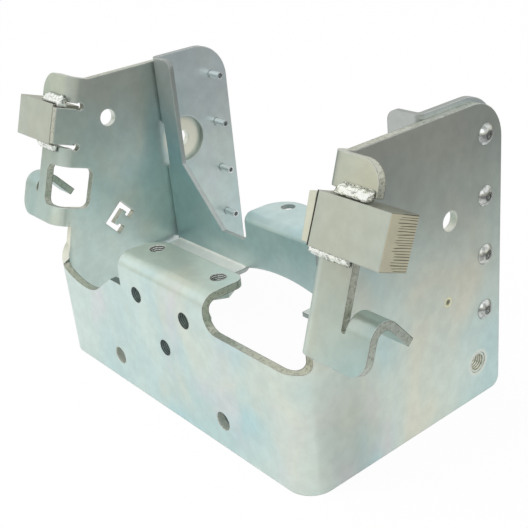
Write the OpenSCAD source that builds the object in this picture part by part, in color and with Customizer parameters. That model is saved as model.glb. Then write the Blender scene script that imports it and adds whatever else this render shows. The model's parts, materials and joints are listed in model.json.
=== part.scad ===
// Zinc plated mounting bracket: a folded sheet body with two leaning ears,
// a riveted cross member, welded stop blocks and threaded fasteners.
// Millimetres. X runs left to right, Y front to rear, Z up.
// The bottom edges of the body stand on Z = 0. The pieces are drawn with their front
// face at Y = 0, and placed at the end with the body's middle depth at Y = 0.

/* [Main body] */
// Width over the outside of the two side walls
body_w = 160; // [140:1:200]
// Depth from the front face to the rear edge of the side walls
body_d = 99; // [94:1:130]
// Height of the side walls
wall_h = 115; // [112:1:130]
// Thickness of the body sheet
sheet_t = 3; // [2:0.25:3.5]
// Outside radius of the two upright corners
corner_r = 10; // [8:0.5:12]
// Radius of the rear top corner of each side wall
wall_top_r = 15; // [8:1:20]
// Radius of the rear bottom corner of each side wall
wall_foot_r = 4; // [2:0.5:8]

/* [Front wall] */
// Height of the low part of the front wall
front_h = 47.5; // [42:0.5:49]
// Sideways place of the middle of the front flange
flange_x = 3; // [-3:0.5:6]
// Width of the front flange
flange_w = 55; // [52:1:60]
// Height of the top face of the front flange
flange_z = 60.5; // [58:0.5:68]
// Reach of the front flange, measured from the front face
flange_reach = 20.3; // [19:0.1:26]
// Outside bend radius of the front flange
flange_bend_r = 6; // [4.5:0.5:7]
// Radius of the large left rear corner of the front flange
flange_left_r = 10; // [4:0.5:11]
// Radius of the small right rear corner of the front flange
flange_right_r = 4.5; // [1:0.5:6]
// Radius of the lower left corner of the open window
window_r = 6; // [2:0.5:7]
// Distance from the front face to the free upright edge beside the window
window_edge_y = 6.7; // [5.5:0.1:7.5]
// Radius of the window's lower right corner
window_edge_r = 3.4; // [1:0.2:4]
// Height of the bottom of the dip at the left corner
dip_h = 36.5; // [34:0.1:38]
// Distance of the lowest point of the dip from the middle of the body
dip_x = 54.5; // [53:0.5:56]
// Radius of the dip towards the flange
dip_r = 20; // [18:0.5:22]
// Radius of the dip towards the left corner
dip_left_r = 36; // [34:0.5:40]
// Distance behind the ear's front face at which the left wall's front edge runs on down
left_edge_v = 8; // [7.5:0.1:9]

/* [Front wall holes] */
// Spacing of the two upper tapped holes
tapped_pitch = 31.2; // [26:0.2:34]
// Height of the two upper tapped holes
tapped_z = 46.9; // [42:0.1:48]
// Drop from the upper tapped holes to the lower one
tapped_drop = 17.2; // [12:0.1:20]
// Sideways place of the middle of the tapped holes
tapped_x = 2.1; // [-2:0.1:4]
// Diameter of the tapped holes
tapped_d = 6.5; // [4:0.1:7.5]
// Spacing of the two lower fixing holes
fixing_pitch = 69.4; // [60:0.2:80]
// Height of the two lower fixing holes
fixing_z = 11.7; // [9:0.1:14]
// Diameter of the two lower fixing holes
fixing_d = 7.4; // [5:0.1:8]
// Spacing of the two holes in the front flange
nut_pitch = 38.8; // [32:0.2:40]
// Distance of the flange holes from the front face
nut_y = 14.1; // [13:0.1:15]
// Diameter of the holes in the front flange
flange_hole_d = 6.2; // [5.6:0.1:7.5]

/* [Side wall holes] */
// Distance of the middle hole in each side wall from the front face
side_hole_y = 71.8; // [68:0.1:74]
// Height of the middle hole in each side wall
side_hole_z = 77.5; // [74:0.1:80]
// Diameter of the middle hole in each side wall
side_hole_d = 7.3; // [4:0.1:9]
// Distance of the upper hole in the left wall from the front face
upper_hole_y = 35.7; // [34:0.1:44]
// Height of the upper hole in the left wall
upper_hole_z = 96.7; // [92:0.1:100]
// Diameter of the upper hole in the left wall
upper_hole_d = 7.2; // [4:0.1:9]
// Distance of the small gauge hole in the right wall from the front face
gauge_y = 70.4; // [66:0.1:72]
// Height of the small gauge hole in the right wall
gauge_z = 47; // [44:0.1:50]
// Diameter of the small gauge hole
gauge_d = 2.2; // [1.5:0.1:3]
// Distance of the hooked slot's corner from the front face
clip_y = 25.9; // [24:0.1:30]
// Height of the hooked slot's corner
clip_z = 50.7; // [49:0.1:52]
// Length of the long side of the hooked slot
clip_length = 12; // [10:0.1:13]
// Length of the two arms of the hooked slot
clip_arm = 9.4; // [8.8:0.1:11]
// Width of the two arms of the hooked slot
clip_arm_w = 2.4; // [1.6:0.1:3]
// Width of the long side of the hooked slot
clip_cut = 3.8; // [2:0.1:4.2]
// Length of the short returns at the ends of the arms
clip_return = 1.4; // [0.6:0.1:2]
// Width of the short returns
clip_return_w = 3.4; // [2:0.1:4]
// Turn of the hooked slot from level
clip_turn = 41; // [35:1:48]

/* [Leaning ears] */
// Lean of the ears back from upright
ear_lean = 18.5; // [15:0.5:22]
// Distance of the ear's front face from the front wall, at the ear's reference height
ear_y = 10.9; // [10:0.1:12]
// Reference height of the ears, near the middle of their front edge
ear_z = 84.7; // [84:0.1:86]
// Inside radius of the ear's fold
ear_fold_r = 3; // [2:0.5:4]
// Reach of the upper ear beyond the outside of the wall
upper_ear_reach = 18.8; // [14:0.2:24]
// Top of the upper ear above the reference, along the lean
upper_ear_top = 34.6; // [32:0.2:36]
// Corner radius of the upper ear
upper_ear_r = 8; // [2:0.5:9]
// Reach of the narrow part of the lower ear
neck_reach = 14.6; // [12:0.2:16]
// Reach of the wide plate of the lower ear
plate_reach = 26.4; // [24:0.2:30]
// Bottom of the wide plate below the reference, along the lean
plate_bottom = 28.7; // [27:0.2:30]
// Corner radius of the wide plate
plate_r = 6.5; // [2:0.5:8]
// Width of the cut between the narrow part and the hook
hook_gap = 1.8; // [1.4:0.1:2.4]
// Depth below the reference at which the hook starts to curl
hook_start = 16.1; // [15:0.1:17]
// Inside radius of the hook
hook_r = 3.3; // [2.5:0.1:4]
// Fall of the hook's straight end from level
hook_fall = 31; // [20:1:45]
// Length of the hook's straight end
hook_leg = 10.9; // [6:0.1:14]
// Lower end of the tongue between the ears, above the reference
tongue_low = 6.5; // [6:0.1:7]
// Upper end of the tongue between the ears, above the reference
tongue_high = 21.7; // [21:0.1:22.5]
// Width of the narrow cut below the tongue
cut_w = 1.6; // [1:0.1:2]
// Width of the narrow cut above the tongue
high_cut_w = 2.3; // [1.6:0.1:2.6]
// Diameter of the round end of each narrow cut
cut_end_d = 3.4; // [2.2:0.1:3.4]
// Distance of the cuts' round ends behind the ear's front face
cut_end_v = 5.8; // [5.4:0.1:7]
// Reach of the left ear's window beyond the outside of the wall
ear_window_reach = 8.2; // [6:0.1:10]
// Depth of the left ear's window into the wall
ear_window_depth = 15.6; // [12:0.1:17]
// Top of the left ear's window below the reference
ear_window_top = 3.1; // [2:0.1:4]
// Bottom of the left ear's window below the reference
ear_window_bottom = 20.7; // [18:0.1:22]
// Corner radius of the left ear's window
ear_window_r = 3; // [1.5:0.5:4]

/* [Stop blocks] */
// Width of the welded stop blocks
block_w = 29.2; // [22:0.2:34]
// Depth of the stop blocks from front to back
block_d = 12.2; // [9:0.2:14]
// Distance of the block's front face ahead of the ear's front face
block_lead = 5; // [3:0.2:7]
// Extra lean of the right block, about its top front edge
block_tilt = 3; // [0:0.5:3.5]
// Radius of the worn upright edges of a block
block_edge_r = 0.7; // [0.3:0.1:1.5]
// Joint gap between a block and the tongue beside it
block_gap = 0.3; // [0.1:0.1:0.5]
// Joint gap between a block and the line of the cuts above and below
block_seat = 0.2; // [0:0.1:0.4]
// Size of the weld bead above each block
upper_bead_r = 4.4; // [3:0.1:4.8]
// Reach of the left upper weld bead beyond the outside of the wall
left_bead_reach = 13; // [8:0.5:16]
// Size of the weld bead below each block
lower_bead_r = 4; // [2.5:0.1:4.6]
// Spacing of the ripples along a weld bead
bead_pitch = 2.4; // [2:0.1:3]

/* [Cross member] */
// Thickness of the cross member's sheet
cross_t = 2; // [1.5:0.1:2.5]
// Distance of the web's front face from the front wall
web_y = 61; // [58:0.5:64]
// Outside bend radius of the cross member
cross_bend_r = 3; // [2.8:0.1:4]
// Height of the cross member's side flanges above the side walls
cross_rise = 2; // [0:0.5:4]
// Radius of the rear top corner of the side flanges
cross_top_r = 16; // [10:1:20]
// Width of the web strip beside each side wall
strip_w = 14; // [12:0.5:18]
// Radius of the strip's free top corner
strip_r = 4; // [1:0.5:6]
// Height at which the strip starts to widen
strip_base_z = 71; // [68:0.5:74]
// Height of the valley beside the raised middle
valley_z = 45.3; // [43:0.2:48]
// Half the distance between the outer ends of the two valleys
valley_x = 38.5; // [35:0.5:42]
// Radius of the corner between each valley and the raised middle
valley_r = 3; // [1:0.5:5]
// Half the width of the raised middle
middle_half_w = 21.8; // [20:0.2:25]
// Height of the top face of the rear flange
rear_flange_z = 57.8; // [56:0.2:62]
// Outside bend radius of the rear flange
rear_bend_r = 4; // [3:0.5:5]
// Distance of the rear flange's edge from the front wall
rear_flange_y = 83.2; // [80:0.2:92]
// Corner radius of the rear flange
rear_flange_r = 11.5; // [4:0.5:14]
// Spacing of the two holes in the rear flange
rear_hole_pitch = 24.4; // [20:0.2:28]
// Distance of the rear flange's holes ahead of its edge
rear_hole_inset = 5.8; // [5.5:0.1:9]
// Diameter of the holes in the rear flange
rear_hole_d = 6; // [4:0.1:7]
// Height of the web's bottom edge
web_foot_z = 32; // [30:0.5:34]
// Half the width of the arch in the web's bottom edge
arch_half_w = 23.6; // [20:0.2:30]
// Rise of the arch in the web's bottom edge
arch_rise = 3.5; // [2:0.1:5]
// Depth of the lower flanges that turn forward beside the arch
lower_flange_d = 11; // [8:0.5:16]
// Flat ledge between the arch and the start of each lower flange
flange_ledge = 0.6; // [0.4:0.1:2]
// Radius of the clearance round the middle hole of the side wall
clearance_r = 10.4; // [9:0.1:11]
// Lower end of the side flanges
side_flange_foot = 6; // [4:0.5:8]

/* [Fasteners] */
// Number of rivets on each side
rivet_count = 4; // [3:1:4]
// Spacing of the rivets
rivet_pitch = 22.4; // [20:0.1:22.5]
// Height of the lowest rivet
rivet_low_z = 35.9; // [35:0.1:38]
// Distance of the rivets ahead of the rear edge
rivet_inset = 8.4; // [8:0.1:12]
// Diameter of a rivet's head
rivet_head_d = 8; // [7:0.1:9]
// Height of a rivet's domed head
rivet_head_h = 1.9; // [1.5:0.1:3]
// Diameter of a rivet's shank
rivet_d = 3.2; // [2.8:0.1:4]
// Clearance of a rivet's shank in its hole, on the diameter
rivet_clearance = 0.2; // [0.1:0.05:0.4]
// Length of a rivet's hollow tail beyond the inner sheet
rivet_tail = 7; // [5:0.5:12]
// Distance of the threaded insert ahead of the rear edge
insert_inset = 12.2; // [11:0.1:14]
// Height of the threaded insert
insert_z = 14.8; // [13:0.1:16]
// Diameter of the insert's inner collar
insert_collar_d = 11; // [10:0.1:12]
// Thickness of the insert's inner collar
insert_collar_t = 1.2; // [0.8:0.1:2]
// Diameter of the insert's body
insert_body_d = 8.2; // [7.6:0.1:8.6]
// Diameter of the insert's bore
insert_bore_d = 6.6; // [4:0.1:6.8]
// Depth of the insert's end below the outside of the wall
insert_sink = 0.3; // [0.1:0.1:0.8]
// Width across the flats of a weld nut
nut_af = 9; // [8.5:0.1:11]
// Height of a weld nut
nut_h = 3.6; // [3:0.1:5]
// Diameter of a flange weld nut's bore
nut_bore_d = 5; // [4:0.1:6]
// Width across the flats of a weld nut behind the front wall
wall_nut_af = 11; // [10:0.1:12]
// Height of a weld nut behind the front wall
wall_nut_h = 5; // [3.5:0.1:5.5]

/* [Hidden] */
$fn = 64;

// A little extra length, so that a cut runs clear through a sheet
over = 1;
wall_x = body_w / 2;
inner_x = wall_x - sheet_t;
corner_in_r = corner_r - sheet_t;
ear_bend_r = ear_fold_r + sheet_t;
ear_corner_x = inner_x + ear_bend_r;
flange_left = flange_x - flange_w / 2;
flange_right = flange_x + flange_w / 2;
flange_base_z = flange_z - flange_bend_r;
rear_y = body_d;
cross_x = inner_x;
cross_inner_x = cross_x - cross_t;
cross_top = wall_h + cross_rise;
strip_x = cross_x - strip_w;
web_back = web_y + cross_t;
cross_inner_r = cross_bend_r - cross_t;
rivet_y = rear_y - rivet_inset;
insert_y = rear_y - insert_inset;
cut_low_w = tongue_low - cut_w;
cut_high_w = tongue_high + high_cut_w;
block_low = tongue_low - cut_w / 2 + block_seat;
block_high = tongue_high + high_cut_w / 2 - block_seat;
block_x = wall_x + block_gap;
lower_flange_x = arch_half_w + flange_ledge;
lower_flange_end = cross_x - cross_bend_r - over / 2;
arch_r = (arch_half_w * arch_half_w + arch_rise * arch_rise) / (2 * arch_rise);
rivet_head_r = (rivet_head_d * rivet_head_d / 4 + rivet_head_h * rivet_head_h) / (2 * rivet_head_h);
steel = "#c4cfcb";

// Flat shapes shared by several pieces

// A rectangle from one corner to the other
module box2(x0, y0, x1, y1) {
    translate([x0, y0])
        square([x1 - x0, y1 - y0]);
}

// A rectangle with one radius for each corner, counted from the lower left anticlockwise
module round_box2(x0, y0, x1, y1, r) {
    difference() {
        box2(x0, y0, x1, y1);
        corner_waste(x0, y0, 1, 1, r[0]);
        corner_waste(x1, y0, -1, 1, r[1]);
        corner_waste(x1, y1, -1, -1, r[2]);
        corner_waste(x0, y1, 1, -1, r[3]);
    }
}

// The waste outside a rounded corner, whose sheet lies towards dx and dy
module corner_waste(x, y, dx, dy, r) {
    if (r > 0) {
        difference() {
            box2(min(x - dx, x + dx * r), min(y - dy, y + dy * r),
                max(x - dx, x + dx * r), max(y - dy, y + dy * r));
            translate([x + dx * r, y + dy * r])
                circle(r);
        }
    }
}

// A bent strip: the part of a ring of sheet between two directions under 180 degrees apart
module bend2(r_in, t, from, to) {
    far = 3 * (r_in + t);
    middle = (from + to) / 2;
    intersection() {
        difference() {
            circle(r_in + t);
            circle(r_in);
        }
        polygon([[0, 0], far * [cos(from), sin(from)],
            2 * far * [cos(middle), sin(middle)], far * [cos(to), sin(to)]]);
    }
}

// Plan of a sheet folded to a U that opens to the rear
module u_plan(half_w, front, rear, t, r_out) {
    difference() {
        round_box2(-half_w, front, half_w, rear, [r_out, r_out, 0, 0]);
        round_box2(-half_w + t, front + t, half_w - t, rear + over, [r_out - t, r_out - t, 0, 0]);
    }
}

// Extrusions along the three axes

// An outline drawn in Y and Z, extruded along X
module along_x(x0, x1) {
    translate([x0, 0, 0])
        rotate([90, 0, 90])
            linear_extrude(x1 - x0)
                children();
}

// An outline drawn in X and Z, extruded along Y
module along_y(y0, y1) {
    translate([0, y1, 0])
        rotate([90, 0, 0])
            linear_extrude(y1 - y0)
                children();
}

// A round bar along X, at a place in Y and Z
module bar_x(x0, x1, y, z, d) {
    along_x(x0, x1)
        translate([y, z])
            circle(d = d);
}

// A round bar along Y, at a place in X and Z
module bar_y(y0, y1, x, z, d) {
    along_y(y0, y1)
        translate([x, z])
            circle(d = d);
}

// The left side as the mirror of the right
module on_side(side) {
    if (side < 0)
        mirror([1, 0, 0])
            children();
    else
        children();
}

// The leaning frame of the ears: X outwards, Y straight back from the ear's face, Z along the lean
module lean() {
    translate([0, ear_y, ear_z])
        rotate([-ear_lean, 0, 0])
            children();
}

// Main body

// Side view of the body before folding the ears: rear corners rounded, front edge leaning back
module side_outline() {
    edge_v = ear_bend_r + over / 2;
    edge_y = ear_y + edge_v * cos(ear_lean);
    edge_z = ear_z - edge_v * sin(ear_lean);
    top_v = (ear_z + upper_ear_top * cos(ear_lean) - wall_h) / sin(ear_lean);
    difference() {
        polygon([[-over, 0], [rear_y, 0], [rear_y, wall_h],
            [ear_y + upper_ear_top * sin(ear_lean) + top_v * cos(ear_lean), wall_h],
            [edge_y + upper_ear_top * sin(ear_lean), edge_z + upper_ear_top * cos(ear_lean)],
            [edge_y - plate_bottom * sin(ear_lean), edge_z - plate_bottom * cos(ear_lean)],
            [-over, edge_z - plate_bottom * cos(ear_lean)]]);
        corner_waste(rear_y, 0, -1, 1, wall_foot_r);
        corner_waste(rear_y, wall_h, -1, -1, wall_top_r);
    }
}

// Front view of everything cut from the top of the front wall
module front_waste() {
    high = flange_z + over;
    slope = 35;
    // The straight slope crosses the dip's arc at a slight angle
    slope_r = dip_r - 0.05;
    foot_x = -dip_x + slope_r * sin(slope);
    foot_z = dip_h + dip_r - slope_r * cos(slope);
    crest_x = foot_x + (front_h - foot_z) / tan(slope);
    corner_x = -wall_x + corner_r * 0.7;
    // The open window at the right of the flange
    round_box2(flange_right, front_h, wall_x - corner_r, high, [window_r, 0, 0, 0]);
    // The strip above the flange's bend
    box2(-wall_x + corner_r, flange_base_z, wall_x - corner_r, high);
    // The step at the left of the flange
    box2(-dip_x, front_h, flange_left, high);
    // The dip, which runs on round the left corner
    polygon([[-dip_x, dip_h + over], [foot_x - over, foot_z - over * tan(slope)],
        [crest_x, front_h], [crest_x, high], [-dip_x, high]]);
    intersection() {
        translate([-dip_x, dip_h + dip_r])
            circle(dip_r);
        box2(-dip_x, dip_h - over, foot_x, high);
    }
    intersection() {
        translate([-dip_x, dip_h + dip_left_r])
            circle(dip_left_r);
        box2(corner_x, dip_h - over, -dip_x, high);
    }
}

// The slope at the left upright corner, cut square through the bend as far as the wall's front edge
module left_corner_waste() {
    high = flange_z + over;
    low_u = corner_r * 0.65;
    high_u = -corner_r * 0.9;
    low_z = dip_h + dip_left_r - sqrt(pow(dip_left_r, 2) - pow(wall_x - 0.93 * corner_r - dip_x, 2));
    rise = 0.68;
    intersection() {
        translate([-wall_x + corner_r, corner_r, 0])
            rotate([0, 0, -45])
                along_y(-2 * corner_r, -corner_in_r / 2)
                    polygon([[low_u, low_z], [low_u, high], [high_u, high],
                        [high_u, low_z + rise * (low_u - high_u)]]);
        lean()
            along_x(-wall_x - over, -wall_x + 2 * corner_r)
                box2(-2 * corner_r, -2 * plate_bottom, left_edge_v, -plate_bottom);
    }
}

// Side view of what is cut from the right upright corner beside the window
module window_side_waste() {
    high = flange_z + over;
    round_box2(-over, front_h, window_edge_y, high, [0, window_edge_r, 0, 0]);
}

// The front flange, bent back from the top of the front wall
module front_flange() {
    difference() {
        intersection() {
            along_x(flange_left, flange_right) {
                translate([flange_bend_r, flange_base_z])
                    bend2(flange_bend_r - sheet_t, sheet_t, 90, 180);
                box2(flange_bend_r, flange_z - sheet_t, flange_reach, flange_z);
            }
            linear_extrude(flange_z + over)
                round_box2(flange_left, -over, flange_right, flange_reach,
                    [0, 0, flange_right_r, flange_left_r]);
        }
        for (side = [-1, 1])
            translate([flange_x + side * nut_pitch / 2, nut_y, flange_z - sheet_t - over])
                cylinder(d = flange_hole_d, h = sheet_t + 2 * over);
    }
}

// Plan of an ear in its leaning frame: the fold and a flat leaf that reaches outwards
module ear_plan(reach) {
    translate([ear_corner_x, ear_bend_r])
        bend2(ear_fold_r, sheet_t, 180, 270);
    box2(ear_corner_x, 0, wall_x + reach, sheet_t);
    box2(inner_x, ear_bend_r, wall_x, ear_bend_r + over);
}

// The upper ear, with its round outer corner
module upper_ear() {
    intersection() {
        translate([0, 0, cut_high_w])
            linear_extrude(upper_ear_top - cut_high_w)
                ear_plan(upper_ear_reach);
        along_y(-over, ear_bend_r + 2 * over)
            round_box2(0, 0, wall_x + upper_ear_reach, upper_ear_top, [0, 0, upper_ear_r, 0]);
    }
}

// The lower ear: a narrow neck above a wide plate
module lower_ear() {
    plate_top = -hook_start;
    intersection() {
        translate([0, 0, -plate_bottom])
            linear_extrude(plate_bottom + cut_low_w)
                ear_plan(plate_reach);
        along_y(-over, ear_bend_r + 2 * over)
            difference() {
                union() {
                    round_box2(0, -plate_bottom, wall_x + plate_reach, plate_top, [0, plate_r, 0, 0]);
                    box2(0, plate_top - over, wall_x + neck_reach, cut_low_w);
                }
                // The round foot of the cut between neck and hook
                translate([wall_x + neck_reach + hook_gap / 2, plate_top])
                    circle(d = hook_gap);
            }
    }
}

// The hook: the outer part of the plate, curled back over and down
module hook() {
    out_r = hook_r + sheet_t;
    along_x(wall_x + neck_reach + hook_gap, wall_x + plate_reach)
        translate([out_r, -hook_start])
            difference() {
                union() {
                    circle(out_r);
                    box2(-out_r, -sheet_t, 0, 0);
                    rotate(-hook_fall)
                        box2(0, 0, hook_leg, out_r);
                }
                circle(hook_r);
                box2(-hook_r, -out_r - over, 0, 0);
                box2(-out_r - over, -out_r - over, 0, -sheet_t);
                rotate(-hook_fall)
                    box2(0, -out_r - over, hook_leg + over, hook_r);
            }
}

// The tongue between the ears, which stays in the plane of the wall
module tongue() {
    along_x(inner_x, wall_x)
        box2(-block_lead, tongue_low, ear_bend_r + over, tongue_high);
}

// The two narrow cuts beside the tongue, with round ends
module tongue_cuts() {
    along_x(inner_x - over, wall_x + over)
        for (cut = [[cut_low_w, tongue_low], [tongue_high, cut_high_w]]) {
            box2(-block_lead - over, cut[0], cut_end_v, cut[1]);
            translate([cut_end_v, (cut[0] + cut[1]) / 2])
                circle(d = cut_end_d);
        }
}

// The window across the fold of the left ear
module ear_window() {
    top = -ear_window_top;
    bottom = -ear_window_bottom;
    along_x(inner_x - over, ear_corner_x)
        round_box2(-over, bottom, ear_window_depth, top, [0, ear_window_r, ear_window_r, 0]);
    along_y(-over, ear_bend_r)
        round_box2(inner_x - over, bottom, wall_x + ear_window_reach, top,
            [0, ear_window_r, ear_window_r, 0]);
}

// The hooked slot in the left wall: a long bar with two arms, whose ends turn towards each other
module hooked_slot() {
    hook_w = clip_arm_w + clip_return;
    along_x(-wall_x - over, -inner_x + over)
        translate([clip_y, clip_z])
            rotate(clip_turn) {
                box2(0, -clip_cut, clip_length, 0);
                box2(0, -clip_arm, clip_arm_w, 0);
                box2(clip_length - clip_arm_w, -clip_arm, clip_length, 0);
                box2(0, -clip_arm, hook_w, clip_return_w - clip_arm);
                box2(clip_length - hook_w, -clip_arm, clip_length, clip_return_w - clip_arm);
            }
}

// Everything bent out of one side wall in the leaning frame
module side_ears(side) {
    on_side(side)
        lean() {
            upper_ear();
            lower_ear();
            hook();
            tongue();
        }
}

// All the round holes in the body, drilled after folding
module body_holes() {
    for (side = [-1, 1]) {
        bar_y(-over, sheet_t + over, tapped_x + side * tapped_pitch / 2, tapped_z, tapped_d);
        bar_y(-over, sheet_t + over, side * fixing_pitch / 2, fixing_z, fixing_d);
        on_side(side) {
            bar_x(inner_x - over, wall_x + over, side_hole_y, side_hole_z, side_hole_d);
            bar_x(inner_x - over, wall_x + over, insert_y, insert_z, insert_body_d + rivet_clearance);
            for (i = [0 : rivet_count - 1])
                bar_x(inner_x - over, wall_x + over, rivet_y, rivet_low_z + i * rivet_pitch,
                    rivet_d + rivet_clearance);
        }
    }
    bar_y(-over, sheet_t + over, tapped_x, tapped_z - tapped_drop, tapped_d);
    bar_x(-wall_x - over, -inner_x + over, upper_hole_y, upper_hole_z, upper_hole_d);
    bar_x(inner_x - over, wall_x + over, gauge_y, gauge_z, gauge_d);
}

module main_bracket() {
    color(steel)
        difference() {
            union() {
                difference() {
                    intersection() {
                        linear_extrude(wall_h + 2 * sheet_t)
                            u_plan(wall_x, 0, rear_y, sheet_t, corner_r);
                        along_x(-wall_x - over, wall_x + over)
                            side_outline();
                    }
                    along_y(-over, window_edge_y)
                        front_waste();
                    along_x(wall_x - corner_r - over / 10, wall_x + over)
                        window_side_waste();
                    left_corner_waste();
                }
                front_flange();
                for (side = [-1, 1])
                    side_ears(side);
            }
            for (side = [-1, 1])
                on_side(side)
                    lean()
                        tongue_cuts();
            on_side(-1)
                lean()
                    ear_window();
            hooked_slot();
            body_holes();
        }
}

// Cross member

// Front view of the web: two tall strips, a valley each side and the raised middle
module web_outline() {
    difference() {
        union() {
            for (side = [-1, 1])
                scale([side, 1])
                    polygon([[0, web_foot_z], [cross_x, web_foot_z], [cross_x, cross_top],
                        [strip_x, cross_top], [strip_x, strip_base_z], [valley_x, valley_z], [0, valley_z]]);
            box2(-middle_half_w, valley_z - over, middle_half_w, rear_flange_z - rear_bend_r);
            for (side = [-1, 1])
                scale([side, 1])
                    corner_waste(middle_half_w, valley_z, 1, 1, valley_r);
        }
        for (side = [-1, 1])
            translate([side * strip_x, cross_top])
                scale([side, 1])
                    corner_waste(0, 0, 1, -1, strip_r);
        // The shallow arch in the bottom edge
        translate([0, web_foot_z + arch_rise - arch_r])
            circle(arch_r, $fn = 180);
    }
}

// Side view of a side flange
module side_flange_outline() {
    difference() {
        polygon([[web_y + cross_bend_r, web_foot_z], [rear_y - 4 * wall_foot_r, side_flange_foot],
            [rear_y, side_flange_foot], [rear_y, cross_top], [web_y + cross_bend_r, cross_top]]);
        corner_waste(rear_y, side_flange_foot, -1, 1, wall_foot_r);
        corner_waste(rear_y, cross_top, -1, -1, cross_top_r);
    }
}

// The rear flange on the raised middle, turned back with two holes
module rear_flange() {
    difference() {
        intersection() {
            along_x(-middle_half_w, middle_half_w) {
                translate([web_y + rear_bend_r, rear_flange_z - rear_bend_r])
                    bend2(rear_bend_r - cross_t, cross_t, 90, 180);
                box2(web_y + rear_bend_r, rear_flange_z - cross_t, rear_flange_y, rear_flange_z);
            }
            linear_extrude(rear_flange_z + over)
                round_box2(-middle_half_w, web_y - over, middle_half_w, rear_flange_y,
                    [0, 0, rear_flange_r, rear_flange_r]);
        }
        for (side = [-1, 1])
            translate([side * rear_hole_pitch / 2, rear_flange_y - rear_hole_inset,
                rear_flange_z - cross_t - over])
                cylinder(d = rear_hole_d, h = cross_t + 2 * over);
    }
}

// A lower flange beside the arch, turned forward from the web's bottom edge
module lower_flange() {
    along_x(lower_flange_x, lower_flange_end) {
        translate([web_y - cross_inner_r, web_foot_z + cross_inner_r])
            bend2(cross_inner_r, cross_t, 270, 360);
        box2(web_y - lower_flange_d, web_foot_z - cross_t, web_y - cross_inner_r, web_foot_z);
    }
}

// The clearance cut through side flange and fold, round the wall's middle hole
module clearance_cut() {
    along_x(cross_inner_x - 1.6, cross_x + over) {
        translate([side_hole_y, side_hole_z])
            circle(clearance_r);
        box2(web_y - over, side_hole_z - clearance_r, side_hole_y, side_hole_z + clearance_r);
    }
}

module cross_member() {
    web_band = web_foot_z + cross_inner_r;
    color("#8fa6a2")
        difference() {
            union() {
                intersection() {
                    linear_extrude(cross_top)
                        u_plan(cross_x, web_y, rear_y, cross_t, cross_bend_r);
                    union() {
                        along_y(web_y - over, web_y + cross_bend_r)
                            difference() {
                                web_outline();
                                for (side = [-1, 1])
                                    scale([side, 1])
                                        box2(lower_flange_x, 0, lower_flange_end, web_band);
                            }
                        for (side = [-1, 1])
                            on_side(side)
                                along_x(cross_inner_x - over, cross_x + over)
                                    side_flange_outline();
                    }
                }
                rear_flange();
                for (side = [-1, 1])
                    on_side(side)
                        lower_flange();
            }
            for (side = [-1, 1])
                on_side(side) {
                    clearance_cut();
                    bar_x(cross_inner_x - over, cross_x + over, insert_y, insert_z,
                        insert_body_d + rivet_clearance);
                    for (i = [0 : rivet_count - 1])
                        bar_x(cross_inner_x - over, cross_x + over, rivet_y, rivet_low_z + i * rivet_pitch,
                            rivet_d + rivet_clearance);
                }
        }
}

// Stop blocks and their welds

// A block in the leaning frame, tilted about its top front edge
module block_shape(tilt) {
    translate([0, -block_lead, block_high])
        rotate([-tilt, 0, 0])
            translate([0, 0, block_low - block_high])
                linear_extrude(block_high - block_low)
                    round_box2(block_x, 0, block_x + block_w, block_d, [0, block_edge_r, block_edge_r, 0]);
}

module stop_block(side) {
    color("#b9b79f")
        on_side(side)
            lean()
                block_shape(side > 0 ? block_tilt : 0);
}

// A rippled quarter bead in the angle between an ear's face and a block
module bead(x0, x1, w, up, r) {
    count = max(2, floor((x1 - x0 - r) / bead_pitch) + 1);
    step = (x1 - x0 - r) / (count - 1);
    intersection() {
        for (i = [0 : count - 1])
            translate([x0 + r / 2 + i * step, 0, w])
                sphere(r, $fn = 40);
        along_x(x0, x1)
            box2(-block_lead, min(w, w + up * 2 * r), 0, max(w, w + up * 2 * r));
    }
}

// The right bead follows the ear, and the left one runs over the tongue's top edge
module upper_weld(side) {
    color("#dfe5df")
        on_side(side)
            lean()
                if (side > 0)
                    difference() {
                        bead(ear_corner_x + upper_bead_r / 3, wall_x + upper_ear_reach,
                            block_high - over / 2, 1, upper_bead_r);
                        block_shape(block_tilt);
                    }
                else {
                    bead(inner_x, block_x, tongue_high, 1, upper_bead_r);
                    bead(block_x - over / 5, wall_x + left_bead_reach, block_high, 1, upper_bead_r);
                }
}

// The right bead starts under the tongue, and the left one beside it
module lower_weld(side) {
    start_x = side > 0 ? inner_x + over / 2 : block_x + block_edge_r;
    color("#dfe5df")
        on_side(side)
            lean()
                difference() {
                    bead(start_x, wall_x + neck_reach, block_low, -1, lower_bead_r);
                    if (side > 0)
                        block_shape(block_tilt);
                }
}

// Fasteners

// One domed rivet, its head outside the wall and its hollow tail inside
module rivet() {
    dome_x = rivet_head_h - rivet_head_r;
    inside = sheet_t + cross_t + rivet_tail;
    rotate([0, 90, 0])
        difference() {
            union() {
                intersection() {
                    translate([0, 0, dome_x])
                        sphere(rivet_head_r);
                    cylinder(d = rivet_head_d, h = rivet_head_h);
                }
                translate([0, 0, -inside])
                    cylinder(d = rivet_d, h = inside + rivet_head_h / 4);
            }
            // The round recess in the head
            translate([0, 0, rivet_head_h / 2])
                cylinder(d = rivet_d * 0.7, h = rivet_head_h);
            // The hollow end of the tail
            translate([0, 0, -inside - over])
                cylinder(d = rivet_d * 0.65, h = rivet_tail * 0.7 + over);
        }
}

module rivets(side) {
    color("#e3e7e4")
        on_side(side)
            for (i = [0 : rivet_count - 1])
                translate([wall_x, rivet_y, rivet_low_z + i * rivet_pitch])
                    rivet();
}

// The nuts welded under the two holes of the front flange
module flange_weld_nuts() {
    color("#d5dcd6")
        for (side = [-1, 1])
            translate([flange_x + side * nut_pitch / 2, nut_y, flange_z - sheet_t - nut_h])
                difference() {
                    cylinder(d = nut_af / cos(30), h = nut_h, $fn = 6);
                    translate([0, 0, -over])
                        cylinder(d = nut_bore_d, h = nut_h + 2 * over);
                }
}

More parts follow.
